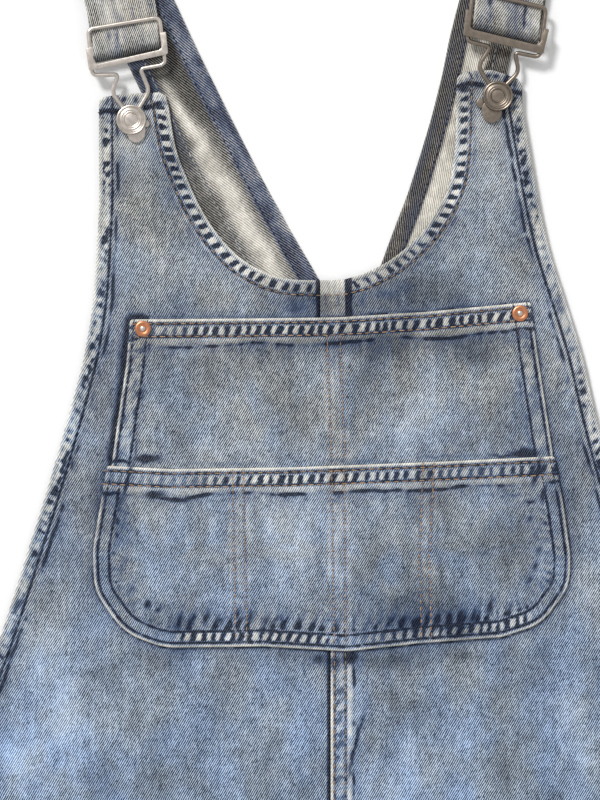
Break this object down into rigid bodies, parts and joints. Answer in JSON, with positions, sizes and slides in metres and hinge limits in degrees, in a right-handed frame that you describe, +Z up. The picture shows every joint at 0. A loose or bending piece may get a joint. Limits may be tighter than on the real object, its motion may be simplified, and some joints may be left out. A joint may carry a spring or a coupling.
{
  "type": "denim overall dress, laid flat",
  "caption": "Light washed denim overall dress laid flat, with crossed-back straps, buckles on shank buttons and a stacked bib pocket.",
  "frame": {"origin": "centre of the underside's bounding rectangle, on the surface that the dress lies on", "axes": "+Z up from that surface, +Y from the hem to the shoulders, +X to the viewer's right"},
  "size_m": [0.61, 0.9325, 0.0104],
  "materials": {
    "denim": "washed light indigo twill",
    "strap_denim": "washed twill, pale reverse showing",
    "nickel": "satin",
    "dark_nickel": "satin",
    "copper": "satin",
    "thread": "cotton topstitching"
  },
  "bodies": {
    "root": {"front_left": "denim", "front_right": "denim", "upper_pocket": "denim", "lower_pocket": "denim", "back_left": "denim", "back_right": "denim", "strap_left": "strap_denim", "strap_right": "strap_denim", "hook_left": "nickel", "hook_right": "dark_nickel", "slider_left": "nickel", "slider_right": "dark_nickel", "button_left": "nickel", "button_right": "dark_nickel", "rivet_left": "copper", "rivet_right": "copper"}
  },
  "joints": []
}
